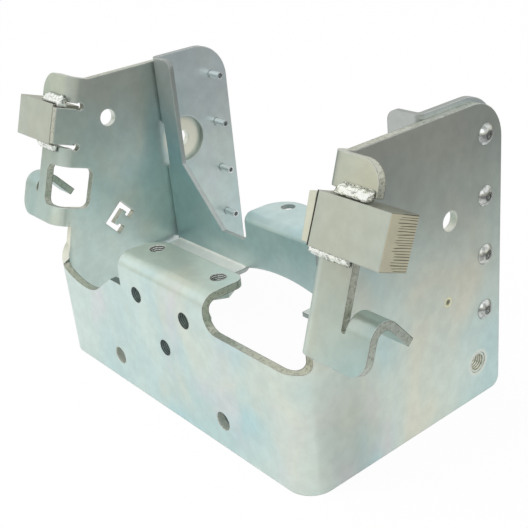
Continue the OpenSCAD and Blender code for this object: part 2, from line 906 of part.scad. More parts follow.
// The nuts welded behind the five holes of the front wall
module front_weld_nuts() {
    spots = [[tapped_x - tapped_pitch / 2, tapped_z, tapped_d], [tapped_x + tapped_pitch / 2, tapped_z, tapped_d],
        [tapped_x, tapped_z - tapped_drop, tapped_d], [-fixing_pitch / 2, fixing_z, fixing_d],
        [fixing_pitch / 2, fixing_z, fixing_d]];
    color("#98a29b")
        for (spot = spots)
            translate([spot[0], sheet_t, spot[1]])
                rotate([-90, 0, 0])
                    difference() {
                        cylinder(d = wall_nut_af / cos(30), h = wall_nut_h, $fn = 6);
                        translate([0, 0, -over])
                            cylinder(d = spot[2], h = wall_nut_h + 2 * over);
                    }
}

// The threaded inserts near the rear foot of each side wall, with a collar inside the two sheets
module threaded_inserts() {
    collar_x = cross_inner_x - insert_collar_t;
    color("#c9cfc6")
        for (side = [-1, 1])
            on_side(side)
                difference() {
                    union() {
                        bar_x(collar_x, wall_x - insert_sink, insert_y, insert_z, insert_body_d);
                        bar_x(collar_x, cross_inner_x, insert_y, insert_z, insert_collar_d);
                    }
                    bar_x(collar_x - over, wall_x + over, insert_y, insert_z, insert_bore_d);
                }
}

// The finished piece in the part's frame
module placed() {
    translate([0, -body_d / 2, 0])
        children();
}

placed() main_bracket();
placed() cross_member();
placed() stop_block(-1);  // left_stop_block
placed() stop_block(1);  // right_stop_block
placed() upper_weld(-1);  // left_upper_weld
placed() lower_weld(-1);  // left_lower_weld
placed() upper_weld(1);  // right_upper_weld
placed() lower_weld(1);  // right_lower_weld
placed() rivets(-1);  // left_rivets
placed() rivets(1);  // right_rivets
placed() flange_weld_nuts();
placed() front_weld_nuts();
placed() threaded_inserts();
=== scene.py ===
import bpy
import bmesh
import json
import math
from mathutils import Matrix, Vector

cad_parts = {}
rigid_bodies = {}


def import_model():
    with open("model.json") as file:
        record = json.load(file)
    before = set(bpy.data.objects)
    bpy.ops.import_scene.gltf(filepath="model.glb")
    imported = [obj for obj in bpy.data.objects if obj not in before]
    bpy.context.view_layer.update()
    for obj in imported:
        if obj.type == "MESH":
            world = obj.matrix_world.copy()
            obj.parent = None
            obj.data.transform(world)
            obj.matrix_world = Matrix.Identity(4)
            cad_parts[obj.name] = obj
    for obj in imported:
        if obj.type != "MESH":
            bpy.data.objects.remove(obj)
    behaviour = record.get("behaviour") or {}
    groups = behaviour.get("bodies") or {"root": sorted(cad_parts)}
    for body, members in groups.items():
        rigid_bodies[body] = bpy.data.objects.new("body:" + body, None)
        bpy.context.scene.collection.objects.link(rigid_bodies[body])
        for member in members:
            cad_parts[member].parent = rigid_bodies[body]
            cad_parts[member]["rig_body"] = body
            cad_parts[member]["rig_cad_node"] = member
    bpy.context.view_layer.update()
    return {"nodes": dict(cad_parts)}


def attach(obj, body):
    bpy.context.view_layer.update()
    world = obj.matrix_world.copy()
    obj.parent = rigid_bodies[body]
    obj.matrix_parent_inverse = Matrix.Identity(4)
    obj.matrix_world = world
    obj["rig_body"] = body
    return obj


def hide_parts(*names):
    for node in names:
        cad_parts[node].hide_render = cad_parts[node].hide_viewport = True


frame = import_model()
nodes = frame["nodes"]

# Main bracket. One stamped sheet of 3 mm steel, folded to a U with ears, tongues and curled hooks,
# then zinc plated. The plating is a satin film that clouds from pale blue-green to warm grey. The
# sheared edges are duller and torn. Some small holes are threaded, some pale inside, and the front
# wall's threads are painted dark with shade.


def feed(tree, socket, value):
    # a socket takes the output of another node, or a plain value
    if isinstance(value, bpy.types.NodeSocket):
        tree.links.new(value, socket)
    else:
        socket.default_value = value


def added(tree, kind, **sockets):
    node = tree.nodes.new("ShaderNode" + kind)
    for name, value in sockets.items():
        feed(tree, node.inputs[name.replace("_", " ")], value)
    return node


def maths(tree, operation, first, second=0.0):
    node = added(tree, "Math")
    node.operation = operation
    feed(tree, node.inputs[0], first)
    feed(tree, node.inputs[1], second)
    return node.outputs[0]


def noise(tree, place, scale, detail=2.0, roughness=0.5, distortion=0.0):
    return added(tree, "TexNoise", Vector=place, Scale=scale, Detail=detail, Roughness=roughness,
                 Distortion=distortion).outputs["Fac"]


def mapped(tree, place, scale=(1, 1, 1), turn=(0, 0, 0)):
    # a pattern's place, squeezed by scale and turned
    return added(tree, "Mapping", Vector=place, Scale=scale, Rotation=turn).outputs["Vector"]


def spread(tree, value, low, high, to_low=0.0, to_high=1.0):
    # a soft step, which gives to_low below low and to_high above high
    node = added(tree, "MapRange", Value=value, From_Min=low, From_Max=high, To_Min=to_low,
                 To_Max=to_high)
    node.interpolation_type = "SMOOTHSTEP"
    return node.outputs["Result"]


def blended(tree, factor, first, second, way="MIX", kind="RGBA"):
    node = added(tree, "Mix")
    node.data_type = kind
    node.blend_type = way
    for name, value in (("Factor", factor), ("A", first), ("B", second)):
        feed(tree, node.inputs[name], value)
    return node.outputs["Result"]


def effect_group(name, inputs, outputs):
    # a group with named sockets: the group, what it is given, and what results from it
    group = bpy.data.node_groups.new(name, "ShaderNodeTree")
    for title, (kind, value) in inputs.items():
        socket = group.interface.new_socket(title, in_out="INPUT", socket_type="NodeSocket" + kind)
        if value is not None:
            socket.default_value = value
    for title, kind in outputs.items():
        group.interface.new_socket(title, in_out="OUTPUT", socket_type="NodeSocket" + kind)
    given = group.nodes.new("NodeGroupInput").outputs
    return group, given, group.nodes.new("NodeGroupOutput").inputs


# the clouded zinc film: its colour, its roughness and the height of its fine grain
film, given, result = effect_group(
    "plated_film",
    {"Place": ("Vector", None), "Clean": ("Color", (0.64, 0.765, 0.72, 1)),
     "Cool": ("Color", (0.50, 0.70, 0.71, 1)), "Warm": ("Color", (0.76, 0.76, 0.635, 1)),
     "Lilac": ("Color", (0.71, 0.69, 0.73, 1)), "Dull": ("Color", (0.31, 0.29, 0.25, 1)),
     "Satin": ("Float", 0.31)},
    {"Color": "Color", "Roughness": "Float", "Height": "Float"})
place = given["Place"]
clouds = spread(film, noise(film, place, 16, 2, 0.45, 0.5), 0.38, 0.64)
stains = spread(film, noise(film, mapped(film, place, (1, 1, 0.7)), 21, 3, 0.5, 0.6), 0.48, 0.76)
blush = spread(film, noise(film, mapped(film, place, (1.3, 1, 0.8)), 26, 3, 0.5, 0.6), 0.55, 0.78)
colour = blended(film, clouds, given["Clean"], given["Cool"])
colour = blended(film, maths(film, "MULTIPLY", stains, 0.75), colour, given["Warm"])
colour = blended(film, maths(film, "MULTIPLY", blush, 0.65), colour, given["Lilac"])
# painted shade and light: near the top of the walls the colour turns towards its top lighting tone
uneven_height = maths(film, "MULTIPLY", noise(film, place, 30, 2), 0.03)
height = maths(film, "ADD", added(film, "SeparateXYZ", Vector=place).outputs["Z"], uneven_height)
top_lighting = maths(film, "MULTIPLY", spread(film, height, 0.07, 0.13), 0.6)
colour = blended(film, top_lighting, colour, given["Dull"])
# small pale and dark flecks, an unevenly satin gloss, and the grain of rolled steel
flecks = spread(film, noise(film, place, 210, 3, 0.6), 0.3, 0.72, 0.95, 1.04)
feed(film, result["Color"], blended(film, 1.0, colour, flecks, "MULTIPLY"))
uneven_satin = spread(film, noise(film, place, 45, 1, 0.5), 0.3, 0.7, -0.02, 0.05)
feed(film, result["Roughness"], maths(film, "ADD", given["Satin"], uneven_satin))
rolled = maths(film, "MULTIPLY", noise(film, mapped(film, place, (1, 1, 6)), 160, 3, 0.6), 0.7)
fine_grain = maths(film, "MULTIPLY", noise(film, place, 1300, 2, 0.5), 0.3)
feed(film, result["Height"], maths(film, "ADD", rolled, fine_grain))


def placed(tree, group, **values):
    # one use of an effect, with its own values
    node = added(tree, "Group")
    node.node_tree = group
    for name, value in values.items():
        feed(tree, node.inputs[name], value)
    return node.outputs


def object_place(tree):
    return added(tree, "TexCoord").outputs["Object"]


def relief(tree, height, normal, strength, depth):
    return added(tree, "Bump", Strength=strength, Distance=depth, Height=height,
                 Normal=normal).outputs["Normal"]


def steel_material(name, metal=0.72, edge=0.0007, bump=0.03, **values):
    # one plated finish: the film feeds the metal, and corners read as slightly rounded
    material = bpy.data.materials.new(name)
    material.use_nodes = True
    tree = material.node_tree
    shader = tree.nodes["Principled BSDF"]
    shader.inputs["Metallic"].default_value = metal
    coat = placed(tree, film, Place=object_place(tree), **values)
    rounded = added(tree, "Bevel", Radius=edge)
    rounded.samples = 6
    normal = relief(tree, coat["Height"], rounded.outputs["Normal"], strength=bump, depth=0.0006)
    feed(tree, shader.inputs["Normal"], normal)
    feed(tree, shader.inputs["Roughness"], coat["Roughness"])
    feed(tree, shader.inputs["Base Color"], coat["Color"])
    return material


def colour_of(material):
    shader = material.node_tree.nodes["Principled BSDF"]
    return shader.inputs["Base Color"].links[0].from_socket


def painted(material, colour):
    # the new colour takes the place of the one so far
    tree = material.node_tree
    feed(tree, tree.nodes["Principled BSDF"].inputs["Base Color"], colour)
    return material


# painted highlight where a corner turns, with painted shade in a thin broken line beside it
painted_corner_light, given, result = effect_group(
    "painted_corner_light",
    {"Color": ("Color", None), "Place": ("Vector", None), "Rounded": ("Vector", None),
     "Bright": ("Color", None), "Amount": ("Float", None), "Grime": ("Float", None)},
    {"Color": "Color"})
turned = added(painted_corner_light, "VectorMath")
turned.operation = "DOT_PRODUCT"
feed(painted_corner_light, turned.inputs[0], given["Rounded"])
feed(painted_corner_light, turned.inputs[1], added(painted_corner_light, "NewGeometry").outputs["Normal"])
flatness = turned.outputs["Value"]
corner_highlight = spread(painted_corner_light, flatness, 0.82, 0.95, given["Amount"], 0.0)
edge_shade = spread(painted_corner_light, flatness, 0.84, 0.995, given["Grime"], 0.0)
broken = spread(painted_corner_light, noise(painted_corner_light, given["Place"], 240, 2), 0.22, 0.5)
colour = blended(painted_corner_light, maths(painted_corner_light, "MULTIPLY", edge_shade, broken), given["Color"],
                 (0.10, 0.11, 0.085, 1))
feed(painted_corner_light, result["Color"], blended(painted_corner_light, corner_highlight, colour, given["Bright"]))


# painted highlight on the corners of a finish, with painted shade beside them
def with_painted_corner_light(material, bright, amount=0.7, edge_shade=0.5):
    tree = material.node_tree
    rounded = next(node for node in tree.nodes if node.type == "BEVEL").outputs["Normal"]
    wear = placed(tree, painted_corner_light, Color=colour_of(material), Place=object_place(tree),
                  Rounded=rounded, Bright=bright, Amount=amount, Grime=edge_shade)
    return painted(material, wear["Color"])


# torn grain: the small dark pits that a press leaves in an edge, and an arc in a weld
torn_grain, given, result = effect_group(
    "torn_grain",
    {"Color": ("Color", None), "Place": ("Vector", None), "Pit": ("Color", None),
     "Scale": ("Float", None), "Low": ("Float", None), "High": ("Float", None)},
    {"Color": "Color"})
pits = spread(torn_grain, noise(torn_grain, given["Place"], given["Scale"], 3, 0.7),
              given["Low"], given["High"], 0.55, 0.0)
feed(torn_grain, result["Color"], blended(torn_grain, pits, given["Color"], given["Pit"]))


def with_torn_grain(material, pit, scale, low, high):
    tree = material.node_tree
    grain = placed(tree, torn_grain, Color=colour_of(material), Place=object_place(tree),
                   Pit=pit, Scale=scale, Low=low, High=high)
    return painted(material, grain["Color"])


sheet_finish = steel_material("plated_sheet")
sheared_finish = steel_material(
    "sheared_edge", metal=0.6, bump=0.5, Clean=(0.52, 0.55, 0.46, 1), Cool=(0.45, 0.50, 0.44, 1),
    Warm=(0.55, 0.54, 0.40, 1), Lilac=(0.54, 0.56, 0.50, 1), Dull=(0.62, 0.64, 0.57, 1), Satin=0.3)
sheared_finish = with_torn_grain(sheared_finish, pit=(0.16, 0.17, 0.12, 1), scale=900, low=0.34,
                                 high=0.52)
sheared_finish = with_painted_corner_light(sheared_finish, (0.95, 0.97, 0.94, 1), amount=0.0, edge_shade=0.9)


def object_axes(tree):
    return added(tree, "SeparateXYZ", Vector=object_place(tree)).outputs


def distance(tree, along, above):
    squares = maths(tree, "ADD", maths(tree, "MULTIPLY", along, along),
                    maths(tree, "MULTIPLY", above, above))
    return maths(tree, "SQRT", squares)


def with_painted_wall_reflection(material, from_x, warm, shade, place_y, place_z):
    # painted reflection and shade: the right wall's outside is painted warmer, and darker near its
    # front foot
    tree = material.node_tree
    axes = object_axes(tree)
    outside = spread(tree, axes["X"], from_x, from_x + 0.001)
    along = maths(tree, "SUBTRACT", axes["Y"], place_y)
    above = maths(tree, "MULTIPLY", maths(tree, "SUBTRACT", axes["Z"], place_z), 0.6)
    painted_shade_cloud = spread(tree, distance(tree, along, above), 0.004, 0.024, 1.0, 0.0)
    colour = blended(tree, outside, colour_of(material), warm, "MULTIPLY")
    return painted(material, blended(tree, maths(tree, "MULTIPLY", outside, painted_shade_cloud), colour, shade,
                                     "MULTIPLY"))


def with_flange_tone(material, tone, from_z, within_x):
    # the top of the flat front flange is painted a little darker and yellower
    tree = material.node_tree
    axes = object_axes(tree)
    inner = maths(tree, "LESS_THAN", maths(tree, "ABSOLUTE", axes["X"]), within_x)
    flange = maths(tree, "MULTIPLY", spread(tree, axes["Z"], from_z, from_z + 0.0012), inner)
    return painted(material, blended(tree, flange, colour_of(material), tone, "MULTIPLY"))


def with_pale_ring(material, place_y, place_z, radius, within_x, pale):
    # a round patch of the film on the side walls is painted pale
    tree = material.node_tree
    axes = object_axes(tree)
    along = maths(tree, "SUBTRACT", axes["Y"], place_y)
    above = maths(tree, "SUBTRACT", axes["Z"], place_z)
    patch = spread(tree, distance(tree, along, above), radius * 0.71, radius * 1.1, 0.9, 0.0)
    inside = maths(tree, "LESS_THAN", maths(tree, "ABSOLUTE", axes["X"]), within_x)
    return painted(material, blended(tree, maths(tree, "MULTIPLY", patch, inside),
                                     colour_of(material), pale))


def with_painted_ear_reflection(material, beyond_x, low_tone, high_tone):
    # painted reflection: the ears are painted warmer than the walls, darker low down and brighter
    # to the top
    tree = material.node_tree
    axes = object_axes(tree)
    ears = spread(tree, maths(tree, "ABSOLUTE", axes["X"]), beyond_x, beyond_x + 0.004)
    tone = blended(tree, spread(tree, axes["Z"], 0.088, 0.112), low_tone, high_tone)
    return painted(material, blended(tree, ears, colour_of(material), tone, "MULTIPLY"))


sheet_finish = with_painted_wall_reflection(
    sheet_finish, from_x=0.0785, warm=(1.03, 1.0, 0.985, 1), shade=(0.74, 0.76, 0.77, 1),
    place_y=-0.031, place_z=0.016)
sheet_finish = with_flange_tone(sheet_finish, (0.90, 0.89, 0.83, 1), from_z=0.0590, within_x=0.04)
# the clearance inside the walls, the rim of the gauge hole and the seat of the insert
sheet_finish = with_pale_ring(sheet_finish, place_y=0.0223, place_z=0.0775, radius=0.0104,
                              within_x=0.0772, pale=(0.98, 0.97, 0.82, 1))
sheet_finish = with_pale_ring(sheet_finish, place_y=0.0209, place_z=0.0470, radius=0.0021,
                              within_x=0.0900, pale=(0.90, 0.88, 0.55, 1))
sheet_finish = with_pale_ring(sheet_finish, place_y=0.0373, place_z=0.0148, radius=0.0056,
                              within_x=0.0900, pale=(0.80, 0.82, 0.74, 1))
sheet_finish = with_painted_ear_reflection(sheet_finish, beyond_x=0.0795, low_tone=(0.80, 0.80, 0.775, 1),
                              high_tone=(1.30, 1.30, 1.22, 1))
sheet_finish = with_painted_corner_light(sheet_finish, (0.96, 0.98, 0.95, 1))

# turns of thread in a bore: bright on the crests, with painted shade in the roots
thread_turns, given, result = effect_group(
    "thread_turns",
    {"Color": ("Color", None), "Along": ("Float", None), "Pitch": ("Float", None),
     "Root": ("Color", None)},
    {"Color": "Color", "Height": "Float"})
turns = maths(thread_turns, "DIVIDE", given["Along"], given["Pitch"])
crests = maths(thread_turns, "SINE", maths(thread_turns, "MULTIPLY", turns, 2 * math.pi))
root_shade = spread(thread_turns, crests, -0.5, 0.3, 0.95, 0.0)
feed(thread_turns, result["Color"], blended(thread_turns, root_shade, given["Color"], given["Root"]))
feed(thread_turns, result["Height"], crests)


def threaded(name, axis, pitch, root, **values):
    # the finish of a bore whose thread climbs along one axis
    material = steel_material(name, metal=0.85, bump=0.05, **values)
    tree = material.node_tree
    thread = placed(tree, thread_turns, Color=colour_of(material), Along=object_axes(tree)[axis],
                    Pitch=pitch, Root=root)
    socket = tree.nodes["Principled BSDF"].inputs["Normal"]
    normal = relief(tree, thread["Height"], socket.links[0].from_socket, strength=0.9, depth=0.0003)
    feed(tree, socket, normal)
    return painted(material, thread["Color"])


flange_thread = threaded(
    "flange_thread", "Z", pitch=0.0008, root=(0.10, 0.12, 0.10, 1), Clean=(0.97, 1.0, 0.97, 1),
    Cool=(0.90, 0.95, 0.92, 1), Warm=(0.90, 0.92, 0.86, 1), Lilac=(0.9, 0.94, 0.92, 1), Satin=0.16)
flange_thread = with_torn_grain(flange_thread, pit=(0.02, 0.03, 0.02, 1), scale=900, low=0.38,
                                high=0.5)
# painted shade: the threaded bores through the front wall and its nuts are painted dark teal
painted_shade_thread = threaded(
    "painted_shade_thread", "Y", pitch=0.0008, root=(0.14, 0.18, 0.17, 1), Clean=(0.26, 0.33, 0.32, 1),
    Cool=(0.20, 0.29, 0.29, 1), Warm=(0.26, 0.30, 0.25, 1), Lilac=(0.24, 0.28, 0.30, 1),
    Dull=(0.24, 0.28, 0.26, 1), Satin=0.3)
pale_bore = steel_material(
    "pale_bore", metal=0.5, Clean=(0.82, 0.84, 0.74, 1), Cool=(0.74, 0.80, 0.74, 1),
    Warm=(0.80, 0.78, 0.62, 1), Dull=(0.80, 0.84, 0.80, 1))
tongue_edge = steel_material(
    "tongue_edge", metal=0.4, Clean=(0.70, 0.71, 0.57, 1), Cool=(0.66, 0.70, 0.60, 1),
    Warm=(0.72, 0.70, 0.50, 1), Lilac=(0.70, 0.70, 0.62, 1), Dull=(0.74, 0.75, 0.63, 1))


def merged_copy(name):
    # a copy of a solid with its loose triangles joined, smooth on bends and sharp at corners
    piece = nodes[name].copy()
    piece.data = nodes[name].data.copy()
    piece.name = name + "_finished"
    piece.data.name = piece.name
    piece.data.materials.clear()
    piece.parent = None
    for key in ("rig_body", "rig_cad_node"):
        if key in piece:
            del piece[key]
    bpy.context.scene.collection.objects.link(piece)
    bm = bmesh.new()
    bm.from_mesh(piece.data)
    bmesh.ops.remove_doubles(bm, verts=bm.verts, dist=2e-6)
    sharpest_bend = math.radians(28)
    for face in bm.faces:
        face.smooth = True
    for line in bm.edges:
        line.smooth = len(line.link_faces) == 2 and line.calc_face_angle(0) < sharpest_bend
    bm.to_mesh(piece.data)
    bm.free()
    return piece


def smooth_run(first, seen):
    # the faces that join the first one without a sharp edge, and the length of their outline
    run, reach, outline = [], [first], 0.0
    seen.add(first)
    while reach:
        face = reach.pop()
        run.append(face)
        for line in face.edges:
            others = [other for other in line.link_faces if other is not face]
            if line.smooth and others:
                for other in others:
                    if other not in seen:
                        seen.add(other)
                        reach.append(other)
            else:
                outline += line.calc_length()
    return run, outline


def short_edge_finish(run, area):
    # 2 thread through the front wall, painted dark with shade, 3 thread down through the flange,
    # 4 pale bore or pale edge at the low left front, 5 edges of the right tongue, 1 any other
    middle = sum((face.calc_center_median() for face in run), Vector()) / len(run)
    facing = sum((face.normal * face.calc_area() for face in run), Vector())
    side_on = 0.3
    if all(abs(face.normal.y) < side_on for face in run) and middle.z > 0.02:
        return 2
    if all(abs(face.normal.z) < side_on for face in run) and middle.y < 0:
        return 3
    if facing.length < 0.1 * area:
        return 4
    front_end = middle.y < -0.03
    if front_end and 0 < middle.x < 0.083:
        return 5
    if front_end and -0.083 < middle.x < 0 and middle.z < 0.06:
        return 4
    return 1


def mark_sheared_faces(piece, gauge, short_outline=0.0):
    # a smooth run of faces that is only about a sheet's thickness wide is a sheared edge: finish 1,
    # or on the bracket's short edges, such as round its holes, what short_edge_finish says
    bm = bmesh.new()
    bm.from_mesh(piece.data)
    seen = set()
    for first in bm.faces:
        if first in seen:
            continue
        run, outline = smooth_run(first, seen)
        area = sum(face.calc_area() for face in run)
        index = 0
        if outline > 0 and 2 * area / outline < gauge * 1.12:
            index = short_edge_finish(run, area) if outline < short_outline else 1
        for face in run:
            face.material_index = index
    bm.to_mesh(piece.data)
    bm.free()


def show(piece, node, finishes):
    for finish in finishes:
        piece.data.materials.append(finish)
    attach(piece, "root")
    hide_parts(node)


bracket = merged_copy("main_bracket")
mark_sheared_faces(bracket, gauge=0.003, short_outline=0.055)
show(bracket, "main_bracket",
     [sheet_finish, sheared_finish, painted_shade_thread, flange_thread, pale_bore, tongue_edge])

# Cross member. A second folded sheet of 2 mm steel, riveted between the two walls to tie them
# together. Its film is coloured darker and more teal than the body's.

cross_finish = steel_material(
    "plated_cross_sheet", Clean=(0.59, 0.70, 0.68, 1), Cool=(0.44, 0.62, 0.63, 1),
    Warm=(0.66, 0.71, 0.66, 1), Lilac=(0.64, 0.67, 0.73, 1), Dull=(0.70, 0.73, 0.76, 1))
cross_finish = with_painted_corner_light(cross_finish, (0.92, 0.95, 0.94, 1))
cross_edge = steel_material(
    "cross_edge", metal=0.7, bump=0.4, Clean=(0.46, 0.50, 0.48, 1), Cool=(0.38, 0.45, 0.45, 1),
    Warm=(0.48, 0.49, 0.44, 1), Lilac=(0.46, 0.48, 0.48, 1), Dull=(0.26, 0.28, 0.27, 1), Satin=0.34)
cross_edge = with_painted_corner_light(cross_edge, (0.92, 0.95, 0.94, 1), amount=0.3, edge_shade=0.6)
ledge_finish = steel_material(
    "bright_ledge", metal=0.2, Clean=(1.0, 1.0, 0.95, 1), Cool=(0.94, 0.98, 0.94, 1),
    Warm=(1.0, 0.97, 0.88, 1), Lilac=(0.96, 0.96, 0.98, 1))


def with_shaded_web(material, front_y, strip_x, low_tone, high_tone):
    # the face of the web turns away from the light, most of all on the tall strips by the walls
    tree = material.node_tree
    axes = object_axes(tree)
    web = spread(tree, axes["Y"], front_y, front_y + 0.002, 1.0, 0.0)
    strips = spread(tree, maths(tree, "ABSOLUTE", axes["X"]), strip_x - 0.036, strip_x + 0.002)
    tone = blended(tree, spread(tree, axes["Z"], 0.070, 0.105), low_tone, high_tone)
    return painted(material, blended(tree, maths(tree, "MULTIPLY", web, strips),
                                     colour_of(material), tone, "MULTIPLY"))


cross_finish = with_shaded_web(cross_finish, front_y=0.0125, strip_x=0.063,
                               low_tone=(0.67, 0.78, 0.81, 1), high_tone=(0.78, 0.75, 0.72, 1))
cross = merged_copy("cross_member")
mark_sheared_faces(cross, gauge=0.002)
# the lower flanges catch the light on their upper faces
ledge_top, ledge_rear = 0.036, 0.0145
for face in cross.data.polygons:
    if face.normal.z > 0.3 and face.center.z < ledge_top and face.center.y < ledge_rear:
        face.material_index = 2
show(cross, "cross_member", [cross_finish, cross_edge, ledge_finish])

# Rivets. Bright steel rivets with a domed head outside and a hollow tail inside. Each head has dark
# smears painted on it, and painted shade in a ring round its dimple and towards its foot.


def with_painted_rivet_shade(material, place_y, low_z, pitch, ring, foot, head_x):
    # the heads of a side stand one pitch apart, so one repeated place serves them all
    tree = material.node_tree
    axes = object_axes(tree)
    along = maths(tree, "SUBTRACT", axes["Y"], place_y)
    climb = maths(tree, "ADD", maths(tree, "SUBTRACT", axes["Z"], low_z), pitch / 2)
    above = maths(tree, "SUBTRACT", maths(tree, "FLOORED_MODULO", climb, pitch), pitch / 2)
    apart = distance(tree, along, above)
    rim = maths(tree, "MULTIPLY", spread(tree, apart, ring - 0.0006, ring - 0.0002),
                spread(tree, apart, ring + 0.0001, ring + 0.0006, 1.0, 0.0))
    # painted shade: a dark ring in the dimple, and darker towards the foot of the head
    rivet_shade = maths(tree, "MAXIMUM", maths(tree, "MULTIPLY", rim, 0.75),
                 spread(tree, apart, foot, foot + 0.0004, 0.0, 0.6))
    head = spread(tree, maths(tree, "ABSOLUTE", axes["X"]), head_x, head_x + 0.0008)
    smears = spread(tree, noise(tree, object_place(tree), 520, 3, 0.6), 0.40, 0.58, 0.75, 0.25)
    colour = blended(tree, maths(tree, "MULTIPLY", head, smears), colour_of(material),
                     (0.24, 0.25, 0.24, 1))
    return painted(material, blended(tree, rivet_shade, colour, (0.09, 0.10, 0.09, 1)))


rivet_finish = steel_material(
    "rivet_steel", metal=0.85, bump=0.12, edge=0.0003, Clean=(0.86, 0.89, 0.87, 1),
    Cool=(0.74, 0.80, 0.80, 1), Warm=(0.82, 0.83, 0.76, 1), Dull=(0.84, 0.87, 0.85, 1), Satin=0.14)
rivet_finish = with_painted_rivet_shade(rivet_finish, place_y=0.0411, low_z=0.0359, pitch=0.0224,
                                ring=0.0014, foot=0.0036, head_x=0.0790)
rivet_finish = with_painted_corner_light(rivet_finish, (0.95, 0.97, 0.95, 1))
tail_finish = steel_material(
    "rivet_tail", metal=0.78, edge=0.0003, Clean=(0.80, 0.84, 0.85, 1), Cool=(0.70, 0.78, 0.79, 1),
    Warm=(0.80, 0.82, 0.79, 1), Dull=(0.80, 0.84, 0.85, 1), Satin=0.12)
tail_finish = with_painted_corner_light(tail_finish, (1.0, 1.0, 1.0, 1), amount=0.3, edge_shade=0.8)
tails_within_x = 0.0765
for side in ("left_rivets", "right_rivets"):
    rivets = merged_copy(side)
    for face in rivets.data.polygons:
        face.material_index = int(abs(face.center.x) < tails_within_x)
    show(rivets, side, [rivet_finish, tail_finish])

# Weld nuts. Plated hexagon nuts, welded under the front flange and behind the front wall. They are
# a little brighter than the sheets, and each has a thread in its bore.

nut_finish = steel_material(
    "nut_steel", metal=0.8, edge=0.0003, Clean=(0.74, 0.78, 0.74, 1), Cool=(0.66, 0.74, 0.72, 1),
    Warm=(0.74, 0.74, 0.64, 1), Dull=(0.72, 0.75, 0.70, 1), Satin=0.26)
nut_finish = with_painted_corner_light(nut_finish, (0.95, 0.97, 0.94, 1))


def mark_bores(piece, axis, widest):
    # faces that look at the axis of their own loose part, no further from it than widest
    bm = bmesh.new()
    bm.from_mesh(piece.data)
    waiting = set(bm.verts)
    while waiting:
        part, reach = set(), [waiting.pop()]
        while reach:
            vert = reach.pop()
            part.add(vert)
            for line in vert.link_edges:
                other = line.other_vert(vert)
                if other in waiting:
                    waiting.discard(other)
                    reach.append(other)
        middle = sum((vert.co for vert in part), Vector()) / len(part)
        for face in {face for vert in part for face in vert.link_faces}:
            away = face.calc_center_median() - middle
            away[axis] = 0
            inward = abs(face.normal[axis]) < 0.3 and away.dot(face.normal) < 0
            face.material_index = int(inward and away.length < widest)
    bm.to_mesh(piece.data)
    bm.free()


# the front nuts take the thread that is painted dark with shade
for nuts, thread, axis in (("flange_weld_nuts", flange_thread, 2),
                           ("front_weld_nuts", painted_shade_thread, 1)):
    piece = merged_copy(nuts)
    mark_bores(piece, axis, widest=0.0042)
    show(piece, nuts, [nut_finish, thread])

# Threaded inserts. Steel sleeves, pressed into the rear foot of each side wall until they sit just
# below its outside. A bright thread runs through each.

insert_finish = steel_material(
    "insert_steel", metal=0.75, edge=0.0003, Clean=(0.70, 0.74, 0.66, 1),
    Cool=(0.62, 0.70, 0.66, 1), Warm=(0.68, 0.69, 0.55, 1), Dull=(0.66, 0.70, 0.62, 1), Satin=0.28)
insert_finish = with_painted_corner_light(insert_finish, (0.95, 0.97, 0.93, 1))
insert_thread = threaded(
    "insert_thread", "X", pitch=0.0009, root=(0.50, 0.50, 0.38, 1), Clean=(0.97, 0.98, 0.88, 1),
    Cool=(0.86, 0.89, 0.78, 1), Warm=(0.76, 0.76, 0.55, 1), Lilac=(0.75, 0.76, 0.66, 1),
    Dull=(0.7, 0.7, 0.58, 1), Satin=0.26)
inserts = merged_copy("threaded_inserts")
mark_bores(inserts, axis=0, widest=0.0038)
show(inserts, "threaded_inserts", [insert_finish, insert_thread])

# Stop blocks. Short lengths of sawn steel bar, welded in front of the ears. The sawn ends keep the
# parallel marks of the blade, deepest towards the rear, and the joint beside the right tongue
# stays dark.


def with_dark_joint(material, place_x, width):
    # the shadow of the joint, on the strip of the right block next to the tongue
    tree = material.node_tree
    axes = object_axes(tree)
    on_right = spread(tree, axes["X"], 0.0, 0.01)
    strip = spread(tree, axes["X"], place_x + width * 0.7, place_x + width, 0.97, 0.0)
    return painted(material, blended(tree, maths(tree, "MULTIPLY", strip, on_right),
                                     colour_of(material), (0.015, 0.015, 0.012, 1)))


block_finish = steel_material(
    "plated_block", metal=0.6, Clean=(0.54, 0.58, 0.51, 1), Cool=(0.50, 0.57, 0.53, 1),
    Warm=(0.57, 0.57, 0.46, 1), Lilac=(0.53, 0.55, 0.56, 1), Dull=(0.53, 0.57, 0.49, 1), Satin=0.33)
block_finish = with_painted_corner_light(block_finish, (0.9, 0.92, 0.84, 1), amount=0.45, edge_shade=0.6)
block_finish = with_dark_joint(block_finish, place_x=0.0803, width=0.0007)
shaded_finish = steel_material(
    "shaded_side", Clean=(0.34, 0.35, 0.28, 1), Cool=(0.30, 0.33, 0.28, 1),
    Warm=(0.36, 0.35, 0.26, 1), Lilac=(0.33, 0.33, 0.30, 1), Dull=(0.32, 0.33, 0.27, 1))
sawn_finish = steel_material(
    "sawn_end", metal=0.4, bump=0.3, Clean=(0.60, 0.58, 0.41, 1), Cool=(0.58, 0.60, 0.47, 1),
    Warm=(0.70, 0.63, 0.40, 1), Lilac=(0.62, 0.60, 0.52, 1), Dull=(0.64, 0.60, 0.45, 1), Satin=0.4)


